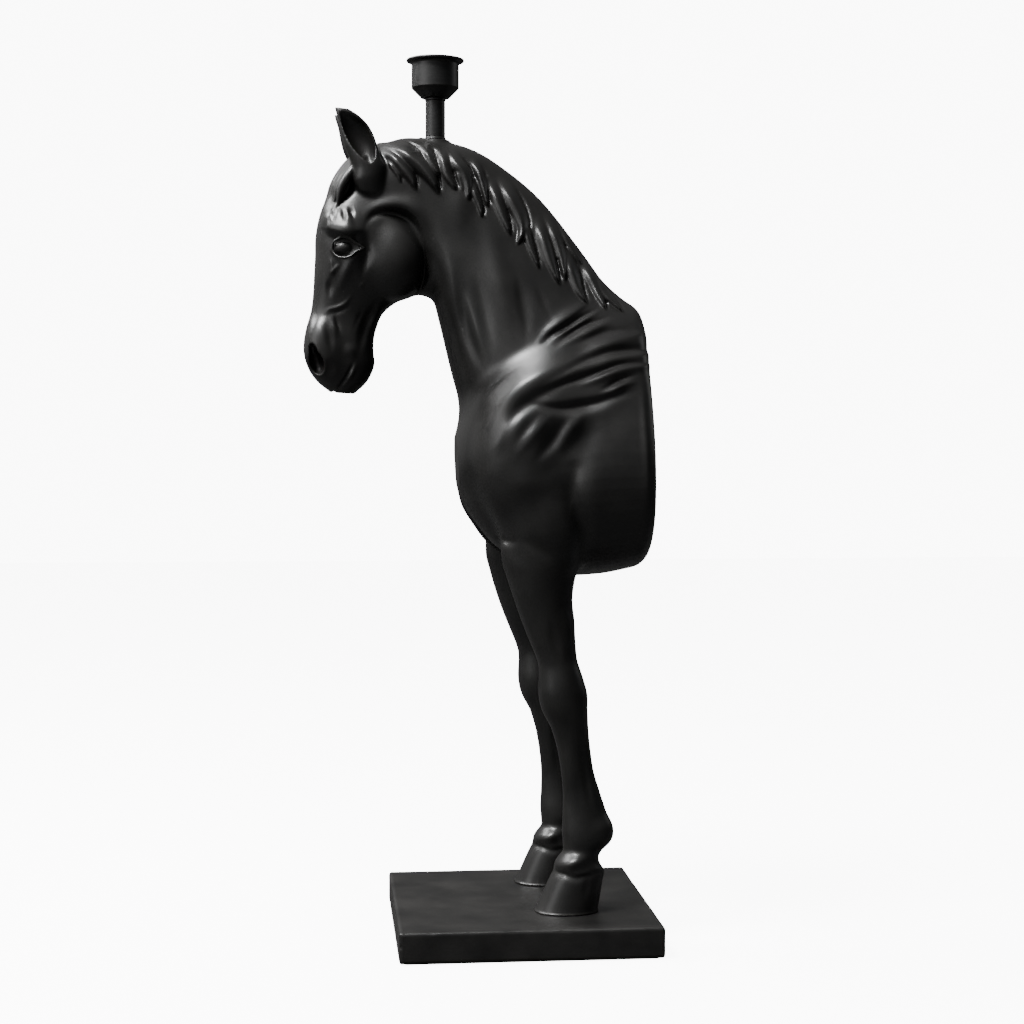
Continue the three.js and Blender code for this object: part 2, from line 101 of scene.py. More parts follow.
class Clay:
    """Distances to a surface at cell middles, negative inside, over the half x >= 0."""

    def __init__(self, low, high, step, reach):
        self.step, self.reach = step, reach
        self.count = np.ceil((np.array(high) - low) / step).astype(int)
        self.start = np.array(low, float) + step / 2
        self.f = np.full(self.count, reach, np.float32)

    def axis(self, k):
        return (self.start[k] + self.step * np.arange(self.count[k])).astype(np.float32)

    def window(self, low, high):
        """The part of the grid inside a box, and its x, y and z ready to broadcast."""
        first = np.floor((np.asarray(low) - self.start) / self.step).astype(int)
        last = np.ceil((np.asarray(high) - self.start) / self.step).astype(int) + 1
        first, last = np.clip(first, 0, self.count), np.clip(last, 0, self.count)
        cut = tuple(slice(a, b) for a, b in zip(first, last))
        x, y, z = (self.axis(k)[cut[k]] for k in range(3))
        return cut, x[:, None, None], y[None, :, None], z[None, None, :]

    def put(self, cut, field, k, away=False):
        mix = blend_cut if away else blend_union
        self.f[cut] = mix(self.f[cut], field, k)

    def loft(self, rings, k, away=False):
        """Adds the closed skin over rings of points, or takes it away."""
        points, triangles, quads = skin(rings)
        grid = openvdb.FloatGrid.createLevelSetFromPolygons(
            (points - self.start).astype(np.float32),
            triangles=triangles,
            quads=quads,
            transform=openvdb.createLinearTransform(voxelSize=self.step),
            halfWidth=self.reach / self.step,
        )
        cut = self.window(points.min(0) - self.reach, points.max(0) + self.reach)[0]
        field = np.empty([c.stop - c.start for c in cut], np.float32)
        grid.copyToArray(field, ijk=[c.start for c in cut])
        self.put(cut, field, k, away)

    def blob(self, at, radii, k, turn=(0, 0, 0), away=False):
        """Adds an egg of given radii, turned by degrees about X, Y and Z, or takes it away."""
        at, radii = np.asarray(at, float), np.asarray(radii, float)
        axes = turned_axes(turn)
        size = np.abs(axes) @ radii + k + 2 * self.step
        cut, x, y, z = self.window(at - size, at + size)
        x, y, z = x - at[0], y - at[1], z - at[2]
        local = [axes[0, i] * x + axes[1, i] * y + axes[2, i] * z for i in range(3)]
        near = np.sqrt(sum((q / r) ** 2 for q, r in zip(local, radii))) + 1e-6
        slope = np.sqrt(sum((q / r**2) ** 2 for q, r in zip(local, radii))) + 1e-6
        self.put(cut, (near * (near - 1) / slope).astype(np.float32), k, away)

    def rope(self, path, k, away=False, per=5):
        """Adds a tube along rows of x, y, z and radius, or takes it away."""
        rows = spline(path, per)
        size = rows[:, 3:].max() + k + 2 * self.step
        cut, x, y, z = self.window(rows[:, :3].min(0) - size, rows[:, :3].max(0) + size)
        best = np.full([c.stop - c.start for c in cut], 1e3, np.float32)
        for a, b in zip(rows[:-1], rows[1:]):
            d = b[:3] - a[:3]
            length2 = max(float(d @ d), 1e-9)
            px, py, pz = x - a[0], y - a[1], z - a[2]
            t = np.clip((px * d[0] + py * d[1] + pz * d[2]) / length2, 0, 1)
            far = np.sqrt((px - t * d[0]) ** 2 + (py - t * d[1]) ** 2 + (pz - t * d[2]) ** 2)
            np.minimum(best, far - (a[3] + (b[3] - a[3]) * t), out=best)
        self.put(cut, best, k, away)

    def finer(self, reach):
        """The same clay with half the step."""
        f = self.f
        for k in range(3):
            padded = np.pad(f, [(2, 2) if i == k else (0, 0) for i in range(3)], "symmetric")
            n = f.shape[k]
            near = [padded.take(range(i, i + n), axis=k) for i in range(5)]
            # a cubic through four cells, read a quarter of a cell from the middle one
            weights = (-0.0234375, 0.2265625, 0.8671875, -0.0703125)
            before = sum(w * near[i] for w, i in zip(weights, (0, 1, 2, 3)))
            after = sum(w * near[i] for w, i in zip(weights, (4, 3, 2, 1)))
            f = np.stack([before, after], axis=k + 1).reshape(
                [2 * n if i == k else s for i, s in enumerate(f.shape)]
            )
        fine = Clay((0, 0, 0), (1, 1, 1), self.step / 2, reach)
        fine.count = np.array(f.shape)
        fine.start = self.start - self.step / 4
        fine.f = np.clip(f, -reach, reach).astype(np.float32)
        return fine

    def mesh(self):
        """The mirrored surface as points and quads, in millimetres."""
        whole = np.concatenate([self.f[::-1], self.f])
        limit = 3 * self.step
        grid = openvdb.FloatGrid()
        grid.background = limit
        grid.copyFromArray(np.clip(whole, -limit, limit))
        points, quads = grid.convertToQuads(isovalue=0.0)
        middle = np.array([self.count[0], 0, 0])
        origin = self.start * (0, 1, 1) + (self.step / 2, 0, 0)
        points = (points - middle) * self.step + origin
        return self.settled(points), quads

    def settled(self, points):
        """Points moved along the slope of the clay onto its surface."""
        for _ in range(2):
            value, slope = self.sample(points)
            steep = np.maximum((slope**2).sum(1, keepdims=True), 0.25)
            points = points - np.clip(value[:, None] * slope / steep, -0.5, 0.5) * 0.9
        return points

    def sample(self, points):
        """The distance and its slope at points, by interpolation."""
        side = np.where(points[:, :1] < 0, -1.0, 1.0) * (1, 0, 0) + (0, 1, 1)
        g = (points * side - self.start) / self.step
        g = np.clip(g, 0, self.count - 1.001)
        i = g.astype(int)
        t = g - i
        corner = {}
        for a in (0, 1):
            for b in (0, 1):
                for c in (0, 1):
                    corner[a, b, c] = self.f[i[:, 0] + a, i[:, 1] + b, i[:, 2] + c]
        tx, ty, tz = t.T
        value, slope = 0, np.zeros_like(points)
        for (a, b, c), v in corner.items():
            wx, wy, wz = (w if q else 1 - w for q, w in ((a, tx), (b, ty), (c, tz)))
            value = value + v * wx * wy * wz
            slope[:, 0] += (2 * a - 1) * v * wy * wz
            slope[:, 1] += (2 * b - 1) * v * wx * wz
            slope[:, 2] += (2 * c - 1) * v * wx * wy
        return value, slope / self.step * side


def skin(rings):
    """Points, triangles and quads of a closed skin over rings of equally many points."""
    rings = np.asarray(rings, float)
    n, m = rings.shape[:2]
    points = np.vstack([rings.reshape(-1, 3), rings[0].mean(0), rings[-1].mean(0)])
    i = np.arange(m)
    j = (i + 1) % m
    quads = [np.stack([r + i, r + j, r + m + j, r + m + i], 1) for r in range(0, (n - 1) * m, m)]
    last = (n - 1) * m
    low = np.stack([np.full(m, n * m), j, i], 1)
    high = np.stack([np.full(m, n * m + 1), last + i, last + j], 1)
    quads, triangles = np.vstack(quads), np.vstack([low, high])
    a, b, c = (points[triangles[:, q]] for q in range(3))
    p, q, r, s = (points[quads[:, q]] for q in range(4))
    volume = np.einsum("ij,ij->", a, np.cross(b, c)) + np.einsum("ij,ij->", p, np.cross(q, r))
    volume += np.einsum("ij,ij->", p, np.cross(r, s))
    if volume < 0:
        triangles, quads = triangles[:, ::-1], quads[:, ::-1]
    return points, triangles.astype(np.uint32), quads.astype(np.uint32)


def ovals(sections, per=6, around=72, inset=0.0, x=0.0, y=0.0):
    """Rings through smoothed sections (ya, za, yb, zb, half width, lean, squareness).

    A section is an oval from point a to point b of the side view. A positive lean widens it
    towards b, and a squareness above 2 fills its corners. Left out, they are 0 and 2.
    """
    rows = spline([row + (0, 2)[len(row) - 5 :] for row in sections], per)
    turn = np.linspace(0, 2 * math.pi, around, endpoint=False)
    c, s = np.cos(turn), np.sin(turn)
    rings = []
    for ya, za, yb, zb, wide, lean, square in rows:
        k = inset / math.hypot(yb - ya, zb - za)
        in_y, in_z = (yb - ya) * k, (zb - za) * k
        ya, za, yb, zb = ya + in_y, za + in_z, yb - in_y, zb - in_z
        u = np.sign(c) * np.abs(c) ** (2 / square)
        v = np.sign(s) * np.abs(s) ** (2 / square)
        along = (1 + u) / 2
        ring = [x + (wide - inset) * v * (1 + lean * u), y + ya + (yb - ya) * along]
        rings.append(np.stack(ring + [za + (zb - za) * along], 1))
    return rings


# ---- the horse's sections
TORSO = [
    (142, 372, 142, 619, 98, -0.32),
    (127, 371, 127, 622, 100, -0.34, 2.05),
    (112, 368, 112, 629, 101, -0.34, 2.1),
    (80, 362, 80, 638, 101, -0.32, 2.1),
    (40, 361, 40, 624, 99, -0.26, 2.1),
    (10, 370, 10, 594, 95, -0.18, 2.1),
    (-15, 384, -15, 566, 88, -0.1, 2.1),
    (-34, 400, -34, 540, 74, -0.05),
    (-50, 425, -50, 516, 54),
    (-59, 450, -59, 500, 30),
]
NECK = [
    (-44, 440, 127, 585, 84),
    (-55, 490, 122, 618, 78, -0.1),
    (-57, 523, 100, 639, 70, -0.18),
    (-69, 569, 64, 689, 57, -0.25),
    (-81, 619, 22, 741, 46, -0.28),
    (-92, 658, -19, 774.5, 40, -0.28),
    (-112, 690, -50, 791.5, 37, -0.1),
    (-128, 705, -84, 799, 34),
    (-145, 715, -118, 800.5, 30),
    (-158, 730, -143, 789, 20),
]
HEAD = [
    (-142, 795, -118, 791, 12),
    (-158, 785, -105, 768, 22),
    (-175, 769, -100, 742, 25, 0.05),
    (-186, 756, -98, 720, 27.5, 0.03),
    (-195, 737, -97, 702, 32, -0.06, 2.1),
    (-201, 720, -96, 685, 36, -0.1, 2.1),
    (-204.5, 701, -95, 668, 35, -0.1, 2.2),
    (-205, 682, -99, 652, 33, -0.06, 2.2),
    (-206, 663, -109, 642, 29, -0.02, 2.2),
    (-207, 645, -124, 636, 25, 0.02, 2.2),
    (-209, 628, -137, 625, 22, 0.05, 2.2),
    (-213, 613, -143, 612, 21, 0.05, 2.3),
    (-215.5, 599, -146, 600, 21.5, 0, 2.3),
    (-216, 587, -146.5, 587, 22, -0.04, 2.3),
    (-213.5, 576, -145.5, 575, 22, -0.05, 2.3),
    (-208.5, 565, -149, 564, 20.5, 0, 2.2),
    (-201, 555, -155, 554.5, 17, 0, 2.1),
    (-190, 546, -166, 544.5, 10),
]
LEG = [
    (-16, 430, 58, 430, 26),
    (-24, 405, 60, 408, 30),
    (-24, 380, 54, 380, 30),
    (-19, 362, 48, 360, 28),
    (-12, 340, 45.5, 340, 26),
    (-5, 320, 47.5, 320, 24),
    (3, 300, 48.5, 300, 21.5),
    (10.5, 281, 50.5, 280, 20),
    (14.5, 263, 55.5, 262, 21, 0, 2.1),
    (16, 246, 60, 247, 22.5, 0, 2.3),
    (18.5, 231, 60.6, 231, 22, 0, 2.3),
    (25, 212, 61.6, 212, 18, 0, 2.1),
    (30.7, 192, 63.6, 192, 14.5),
    (34.5, 169, 67, 170, 13),
    (36.3, 148, 73, 150, 13),
    (36, 128, 79.5, 130, 15),
    (35.3, 112, 84.5, 112, 17.5),
    (36, 101, 83.5, 102, 18),
    (36.5, 91, 75.5, 92, 16.5),
    (33.5, 84, 72, 85, 18),
    (29, 77, 73.5, 78, 21),
    (25.5, 69, 77.5, 71, 23),
    (20.5, 59, 75.5, 60, 23.5, 0, 2.1),
    (8.5, 32, 70.5, 32, 26, 0, 2.2),
    (2.5, 20, 66, 20, 27, 0, 2.2),
]
LEG_X = 66  # how far each leg stands from the middle
LEG_SHIFTS = 1.5, -5.5  # how far back the leg at x > 0 stands, and the other one
SHIFT_FADES = 330, 470  # the heights between which the shift fades out
SOLE_Z = 31.7  # the hooves' soles, just above the slab
BACK_Y = 127  # the flat back
BACK_ROUND = 8  # how round its rim is
STEM_Y = -84  # the stem's axis
SEAT_Z, SEAT_R = 799.2, 12.6  # the top and the radius of the boss under the stem
FILLET = 1.3  # the hooves spread a little where they meet the slab
# the pocket in the back, and how far its wall is in from the outside
POCKET = [(y, 371, y, 622, 100, -0.34, 2.1) for y in (118.7, 123, 150)]
POCKET_INSET = 8.1


# ---- relief
class Relief:
    """A height map over the side view, in mm, that the flanks are raised by."""

    def __init__(self, clay):
        self.y, self.z, self.step = clay.axis(1), clay.axis(2), clay.step
        self.start = clay.start[1:]
        self.height = np.zeros((len(self.y), len(self.z)), np.float32)

    def along(self, path, reach, per=8):
        """The map's part near a path, how far each place is off it, and its share of the way.

        Places on the left of the path have a negative distance.
        """
        rows = spline(path, per)
        low, top = ((q - self.start) / self.step for q in (rows.min(0) - reach, rows.max(0) + reach))
        i, j = (np.clip(q.astype(int), 0, self.height.shape) for q in (low, top))
        cut = slice(i[0], j[0]), slice(i[1], j[1])
        y, z = self.y[cut[0], None], self.z[None, cut[1]]
        lengths = np.hypot(*(rows[1:] - rows[:-1]).T)
        run = np.concatenate([[0], np.cumsum(lengths)])
        near = np.full((y.shape[0], z.shape[1]), 1e6, np.float32)
        share, side = np.zeros_like(near), np.ones_like(near)
        for a, b, length, before in zip(rows[:-1], rows[1:], lengths, run):
            d = (b - a) / max(length, 1e-6)
            py, pz = y - a[0], z - a[1]
            t = np.clip(py * d[0] + pz * d[1], 0, length)
            far = np.hypot(py - t * d[0], pz - t * d[1])
            closer = far < near
            near = np.where(closer, far, near)
            share = np.where(closer, (before + t) / run[-1], share)
            side = np.where(closer, np.sign(d[1] * py - d[0] * pz), side)
        return cut, near * side, share

    def stroke(self, path, high, wide, right=None, ends=(0.0, 0.0)):
        """Raises (or sinks) a soft band along points of the side view, thinned out at its ends.

        `wide` is its half width on the left of the path, and `right`, if given, on the right.
        """
        right = wide if right is None else right
        cut, off, share = self.along(path, 2.6 * max(wide, right))
        first, last = (end + (1 - end) * ramp(q, 0, 0.5) for q, end in zip((share, 1 - share), ends))
        off = off / np.where(off < 0, wide, right) / (0.55 + 0.45 * np.minimum(first, last))
        self.height[cut] += high * first * last * np.exp(-(off**2))

    def lock(self, path, wide, high, crest=0.2):
        """Raises a lock of hair: a pointed blade, steep on one side, with a groove beside it."""
        cut, off, share = self.along(path, 2 * wide)
        # half its width: narrow at the root, widest halfway, pointed at the tip
        half = wide * (0.4 + 0.6 * np.sin(np.pi * np.clip(share * 0.85 + 0.12, 0, 1)))
        half = half * np.sqrt(np.clip(1 - share**4, 0, 1)) + 1e-3
        across = off / half
        rise, fall = (across + 1) / (1 + crest), (1 - across) / (1 - crest)
        blade = np.clip(np.minimum(rise, fall), 0, 1)
        tip = 1 - ramp(share, 0.86, 1)
        along = ramp(share, 0, 0.4) * (1 - 0.3 * share) * tip
        height = 1.15 * high * along * blade * (1.6 - 0.6 * blade)
        np.maximum(self.height[cut], height, out=self.height[cut], where=height > 0)
        beside = np.exp(-(((across + 1.05) * half / 1.6) ** 2)) * ramp(share, 0.15, 0.5)
        self.height[cut] -= 0.45 * high * beside * tip * (height <= 0)

    def press(self, clay):
        """Moves the clay's flanks by the heights, where they face sideways."""
        slope = np.abs(np.gradient(clay.f, clay.step, axis=0))
        height = self.height
        for axis in (0, 1):
            height = (np.roll(height, 1, axis) + 2 * height + np.roll(height, -1, axis)) / 4
        clay.f -= height * ramp(slope, 0.1, 0.6)


EAR = [  # sections, as above
    (-158, 740.5, -143, 739.5, 5),
    (-163, 746, -137, 744, 9.5),
    (-167, 755, -134, 757, 13),
    (-167, 766, -134, 769, 13.5),
    (-171, 778, -139, 778, 13),
    (-176, 790, -142.5, 788, 12),
    (-179, 802, -146, 799, 10.5),
    (-181, 813, -152, 810, 8),
    (-183.5, 821, -161, 819, 5),
    (-185, 827, -171, 825.5, 2.2),
]
MANE = [  # half width, height, and the points of each lock, from its root to its tip
    (3, 3, [(-134, 780), (-130, 771), (-124, 762), (-119, 751)]),
    (7.5, 6, [(-140, 786), (-128, 780), (-117, 767), (-109, 755), (-105, 744)]),
    (10.5, 8, [(-138, 791), (-121, 787), (-107, 777), (-97, 767), (-89, 755), (-82, 740)]),
    (6.5, 6, [(-99, 795), (-93, 782), (-88, 771), (-81, 758)]),
    (7, 5.5, [(-81, 792), (-77, 775), (-73, 759), (-64, 743)]),
    (3.5, 3.5, [(-66, 770), (-61, 756), (-58, 743)]),
    (8, 6, [(-72, 791), (-65, 775), (-57, 764), (-53, 750), (-54, 732)]),
    (5, 5, [(-50, 758), (-46, 742), (-42, 730), (-40, 717)]),
    (5, 5, [(-49, 781), (-41, 763), (-37, 747), (-34, 727)]),
    (7, 5, [(-31, 762), (-25, 742), (-18, 720), (-11, 699)]),
    (9, 6, [(-22, 764), (-11, 743), (-1, 721), (1, 706), (-6, 690)]),
    (5, 4.5, [(1, 722), (6, 700), (11, 683), (17, 666)]),
    (8, 5.5, [(16, 724), (24, 695), (29, 675), (37, 650)]),
    (7, 5, [(25, 728), (35, 703), (41, 680), (43, 654)]),
    (7.5, 5, [(44, 690), (52, 664), (57, 647), (65, 632)]),
    (7, 5, [(63, 682), (73, 657), (78, 642), (84, 626)]),
    (6, 4, [(74, 670), (83, 648), (94, 635), (103, 625)]),
    (5, 3, [(38, 720), (52, 692), (64, 672)]),
]


def make_rough():
    """The horse's big forms, on a grid of twice the final step."""
    rough = Clay((0, -236, 12), (124, 148, 852), 2 * STEP, REACH)
    rough.loft(ovals(TORSO), 1)
    rough.loft(ovals(NECK), 30)
    rough.loft(ovals(HEAD), 9)
    rough.loft(ovals(LEG, x=LEG_X), 14)
    # chest and shoulder
    rough.blob((26, -26, 462), (32, 28, 52), 16, (4, 0, 0))
    rough.blob((26, -14, 418), (26, 18, 26), 12)
    rough.blob((44, 6, 514), (50, 48, 70), 22, (-34, 0, 0))
    rough.blob((70, -2, 468), (30, 42, 64), 16, (10, 0, 0))
    rough.blob((54, 8, 554), (28, 52, 20), 18, (38, 0, 0))
    rough.blob((78, 22, 420), (20, 34, 40), 12, (-18, 0, 0))
    rough.blob((81, 60, 450), (14, 18, 34), 16)
    # throat, cheek and brow
    rough.blob((0, -92, 664), (22, 14, 20), 14)
    rough.blob((18, -127, 678.5), (23, 30.5, 40), 5, (8, 0, 0))
    rough.blob((21, -172, 713), (14, 22, 12), 9, (-14, 0, 0))
    rough.blob((27, -172, 705), (11, 20, 8), 6, (-10, 0, 0))
    rough.blob((14.5, -197.5, 588), (12, 13, 25), 16, (4, 0, 0))
    # knee, fetlock and the ball of the heel
    rough.blob((LEG_X, 33, 250), (18.5, 19, 28), 12)
    rough.blob((LEG_X, 72, 111), (14, 13, 14), 8)
    rough.blob((LEG_X, 46, 82), (23, 17, 9), 6, (18, 0, 0))
    return rough


def add_relief(clay):
    relief = Relief(clay)
    stroke = relief.stroke
    # the neck's muscle bands and the grooves between them
    stroke([(-84, 722), (-80, 700), (-73, 680), (-69, 655), (-62, 620), (-52, 580)], 2.5, 9)
    stroke([(-97, 690), (-89, 650), (-80, 622), (-68, 581), (-58, 545), (-55, 505)], -3, 6)
    stroke([(-68, 672), (-59, 625), (-50, 590), (-38, 560)], -2.5, 6)
    stroke([(-56, 650), (-46, 605), (-34, 570)], 1.6, 6)
    stroke([(-50, 670), (-39, 622), (-28, 580)], -2, 6)
    stroke([(-40, 735), (-30, 690), (-20, 630), (-8, 580)], 3, 13)
    stroke([(-52, 770), (-60, 735), (-64, 700)], 2, 12)
    stroke([(-8, 668), (-3, 640), (1, 615), (1, 590)], -1.8, 7, 5)
    stroke([(10, 656), (20, 632), (29, 613)], -0.9, 4, 3.4)
    # folds at the withers
    stroke([(72, 640), (54, 627), (35, 614), (20, 602), (8, 588)], 3, 3.5, 6)
    stroke([(80, 632), (60, 621), (43, 610), (27, 602), (14, 590)], -2.6, 2.6)
    stroke([(84, 630), (64, 619), (46, 609), (30, 598), (18, 588)], 1.8, 2.4)
    stroke([(92, 624), (76, 617), (59, 611), (40, 599), (24, 586)], -2.4, 2.8)
    stroke([(96, 619), (86, 615), (65, 606), (44, 595), (28, 585)], 2, 4)
    # the shoulder, and the folds that run back from it
    stroke([(-2, 573), (-22, 560), (-36, 547), (-45, 531)], -0.8, 2)
    stroke([(77, 586), (49, 575), (20, 563), (-5, 550), (-23, 534), (-33, 515), (-38, 494)], 4, 13, 9)
    stroke([(50, 561), (30, 551), (8, 539), (-10, 525), (-20, 507), (-25, 490)], -2.2, 7, 6)
    stroke([(48, 592), (74, 602), (89, 606), (112, 609)], -2, 4)
    stroke([(44, 578), (62, 585), (78, 591), (96, 597), (123, 604)], 2.4, 5, 8, ends=(0, 0.6))
    stroke([(30, 560), (51, 572), (67, 578), (86, 585), (124, 588)], -2.6, 5, ends=(0, 0.5))
    stroke(
        [(2, 543), (18, 551), (34, 559), (52, 568), (74, 576), (97, 580), (126, 583)],
        2.6, 4, 7, ends=(0, 0.6),
    )
    stroke([(10, 543), (34, 552), (52, 558), (74, 566), (94, 573), (122, 576)], -2.4, 3)
    stroke([(44, 548), (64, 556), (81, 563), (98, 568), (124, 572)], 2.8, 2.6, 5, ends=(0, 0.5))
    stroke([(66, 545), (79, 550), (92, 557), (112, 563)], -2.4, 2.8)
    stroke([(68, 541), (82, 546), (95, 552), (112, 556)], 2, 3)
    stroke([(-8, 536), (10, 532), (31, 529), (50, 531), (66, 534), (84, 540), (114, 549)], -5, 5, 6)
    stroke([(3, 525), (-10, 516), (-21, 506), (-33, 491), (-40, 478)], 1.6, 9, 7)
    stroke([(16, 529), (5, 518), (-6, 504), (-16, 490)], -1.4, 4, 5)
    stroke([(34, 530), (19, 519), (9, 508), (-4, 493), (-18, 477)], 1.3, 5, 5)
    stroke([(42, 524), (32, 510), (21, 494), (3, 474)], -3.2, 6, 8)
    stroke([(58, 530), (48, 516), (40, 506), (26, 484)], 2.4, 7)
    stroke(
        [(72, 538), (63, 520), (59, 508), (52, 489), (46, 469), (43, 448)],
        -2.4, 12, 20, ends=(0, 0.6),
    )
    stroke(
        [(46, 470), (43, 448), (48, 428), (54, 410), (51, 384), (46, 366)],
        -5, 8, 10, ends=(0.3, 0.3),
    )
    stroke([(74, 480), (62, 458), (64, 436), (70, 414)], 1.5, 14)
    stroke([(-6, 480), (-2, 455), (4, 430)], 2, 16)
    stroke([(-14, 404), (16, 391), (42, 377)], -2, 8)
    stroke([(-34, 410), (-20, 400), (-8, 399)], -2, 5)
    stroke([(-29, 405), (-22, 400), (-16, 400)], -3, 3)
    stroke([(113, 560), (114, 530), (115, 480), (115, 440)], 1.2, 4)
    # the head: the ridge over the cheek, the cheek's edge, and the temple
    stroke(
        [(-158, 714), (-149, 725), (-136, 730), (-119, 730), (-106, 722), (-98, 708), (-94, 690)],
        4.4, 9, 5,
    )
    stroke(
        [(-158, 702), (-152, 715), (-143, 722), (-130, 723), (-116, 719), (-106, 711), (-98, 698)],
        -4, 4,
    )
    stroke([(-157, 712), (-154, 700), (-154, 685), (-157, 668), (-161, 652)], -3, 5)
    stroke([(-112, 641), (-103, 648), (-97, 658), (-96, 676), (-98, 694)], -3.5, 3.6)
    stroke([(-154, 690), (-167, 677), (-176, 660), (-184, 640)], 2.2, 5)
    stroke([(-190, 680), (-188.5, 672), (-188, 664)], 1.4, 1.5, ends=(0, 1))
    stroke([(-180, 673), (-184, 669), (-188, 664)], 1.4, 1.5, ends=(0, 1))
    stroke([(-187, 664), (-190, 650), (-191, 636)], -1.6, 3)
    stroke([(-185, 732), (-186, 722), (-187, 712)], -1.6, 2)
    stroke([(-178, 728), (-176, 720), (-176, 712)], -1.8, 2, 2)
    stroke([(-171, 730), (-169, 722), (-166, 715)], -1.8, 2.4)
    stroke([(-190, 706), (-178, 703), (-166, 703), (-156, 708)], 4.5, 14, 4, ends=(0.3, 0))
    stroke([(-168, 762), (-170, 750), (-175, 741), (-182, 731)], -5.5, 4, ends=(0.2, 0))
    # veins and folds on the nose
    stroke([(-198, 622), (-191, 628), (-184, 629.5), (-176, 633), (-170, 640), (-165, 645)], 1.8, 1.7)
    stroke([(-195, 620), (-188, 624), (-182, 626), (-174, 630), (-167, 637)], -1.2, 2)
    stroke([(-162, 648), (-159, 651), (-156, 655)], 1, 1.4)
    stroke([(-186, 627), (-184.5, 619), (-182, 611), (-179, 602)], -1.8, 1.8)
    stroke([(-195, 615), (-191, 600), (-188, 582)], -1.6, 3.5)
    stroke([(-188, 624), (-186, 612), (-184, 596)], 1.2, 3.5)
    stroke([(-156, 634), (-161, 622), (-168, 606)], -1, 1.6)
    stroke([(-141, 642), (-148, 629), (-155, 615), (-159, 598), (-162, 580)], -3, 4.5)
    stroke([(-137, 634), (-145, 620), (-152, 604)], 1.5, 3.5)
    stroke([(-176, 596), (-169, 586), (-166, 576)], 1.8, 5)
    stroke([(-190, 580), (-192, 568), (-196, 558)], -2, 5)
    stroke([(-178, 554), (-170, 562), (-165, 573)], 1.6, 2, 2, ends=(0.3, 0.3))
    # tendons, knee, and the coronet's lower edge
    stroke([(50, 226), (54, 190), (60, 150), (66, 122)], -1.6, 4)
    stroke([(41, 222), (42, 190), (45, 150), (48, 124)], 1, 5)
    stroke([(20, 330), (26, 300), (32, 275)], -1.4, 5)
    stroke([(34, 340), (40, 310), (44, 285)], 1.4, 6)
    stroke([(24, 74), (37, 71), (46, 68.5), (56, 70), (68, 72), (78, 71)], -2, 2.2, 4, ends=(0.6, 0.6))
    stroke([(60, 72), (57, 60), (54, 46)], -1, 3)
    for wide, high, path in MANE:
        relief.lock(path, wide, high)
    relief.press(clay)


def add_ears(clay):
    """The ears: pointed leaves that stand on a round foot, each hollow towards its side."""
    clay.loft(ovals(EAR, x=24), 3)
    hollow = [
        (-154, 769, -145, 768, 5),
        (-166, 784, -145, 779, 11),
        (-173, 796, -145.5, 789, 13),
        (-177.5, 807, -149, 800, 12),
        (-180, 816, -154, 810, 9),
        (-182, 821, -162, 818, 5),
        (-182, 824, -170, 823, 2),
    ]
    clay.loft(ovals(hollow, x=30.2), 1.0, away=True)


EYE_FRONT, EYE_BACK = (29, -188, 686), (36, -157, 687)  # where the lids meet


def add_face(clay):
    # the eye and its lids
    clay.blob((46, -173, 689), (14, 13, 9), 5, away=True)
    clay.blob((25, -176, 688), (10.5, 11, 8.5), 0.8)
    upper = [(32.5, -186, 694), (35.5, -178, 698), (37, -170, 696), (37, -163, 691)]
    lower = [(31.5, -185, 681), (34.5, -179, 678), (36, -171, 679), (36.5, -164, 684)]
    for lid, thick, k in ((upper, 1.2, 1.6), (lower, 1.3, 1.2)):
        clay.rope([(*p, thick) for p in (EYE_FRONT, *lid, EYE_BACK)], k)
    # nostril and mouth
    clay.blob((23, -206.5, 584), (10, 4.5, 10), 1.2, (14, 0, 0), away=True)
    clay.blob((21, -203.5, 575), (13, 7.5, 12), 1.2, (14, 0, 0), away=True)
    mouth = [(23, -165, 578), (22, -168, 573), (19.5, -174, 561), (15, -180, 552)]
    mouth += [(8, -185, 547), (0, -187, 545)]
    clay.rope([(*p, 1.8) for p in mouth], 1.2, away=True)


def add_forelock(clay):
    """Strands that fall from between the ears over the forehead."""
    for k in range(6):
        x = 3 + 4.4 * k
        drop = 7 * (k % 2)
        path = [
            (x * 0.5, -148, 788 - k, 1.5),
            (x * 0.85, -163 + 0.6 * k, 782 - 1.6 * k, 3.6),
            (x, -176 + 1.2 * k, 769 - 1.4 * k, 4.2),
            (x * 1.02, -187 + 1.6 * k, 752 - k, 3.4),
            (x * 1.02, -193 + 2 * k, 736 - drop, 1.0),
        ]
        clay.rope(path, 2)


def add_seat(clay):
    """A flat round boss on the crest, for the stem to stand on."""
    cut, x, y, z = clay.window((-4, STEM_Y - 22, SEAT_Z - 34), (22, STEM_Y + 22, SEAT_Z + 8))
    off_axis = np.hypot(x, y - STEM_Y)
    boss = np.maximum(off_axis - SEAT_R, z - SEAT_Z)
    clay.f[cut] = blend_union(clay.f[cut], boss, 7)
    clay.f[cut] = np.maximum(clay.f[cut], np.minimum(z - SEAT_Z, SEAT_R + 1.5 - off_axis))


def horse_mesh():
    clay = make_rough().finer(NEAR)
    add_relief(clay)
    add_ears(clay)
    add_face(clay)
    add_forelock(clay)
    add_seat(clay)
    y, z = clay.axis(1)[None, :, None], clay.axis(2)[None, None, :]
    clay.f = blend_cut(clay.f, BACK_Y - y, 2 * BACK_ROUND)
    clay.f -= FILLET * (1 - ramp(z, SOLE_Z, SOLE_Z + 2 * FILLET))
    clay.f = np.maximum(clay.f, SOLE_Z - z)
    clay.loft(ovals(POCKET, inset=POCKET_INSET), 1, away=True)
    points, quads = clay.mesh()
    low = 1 - ramp(points[:, 2], *SHIFT_FADES)
    points[:, 1] += low * np.where(points[:, 0] > 0, *LEG_SHIFTS)
    return points, quads


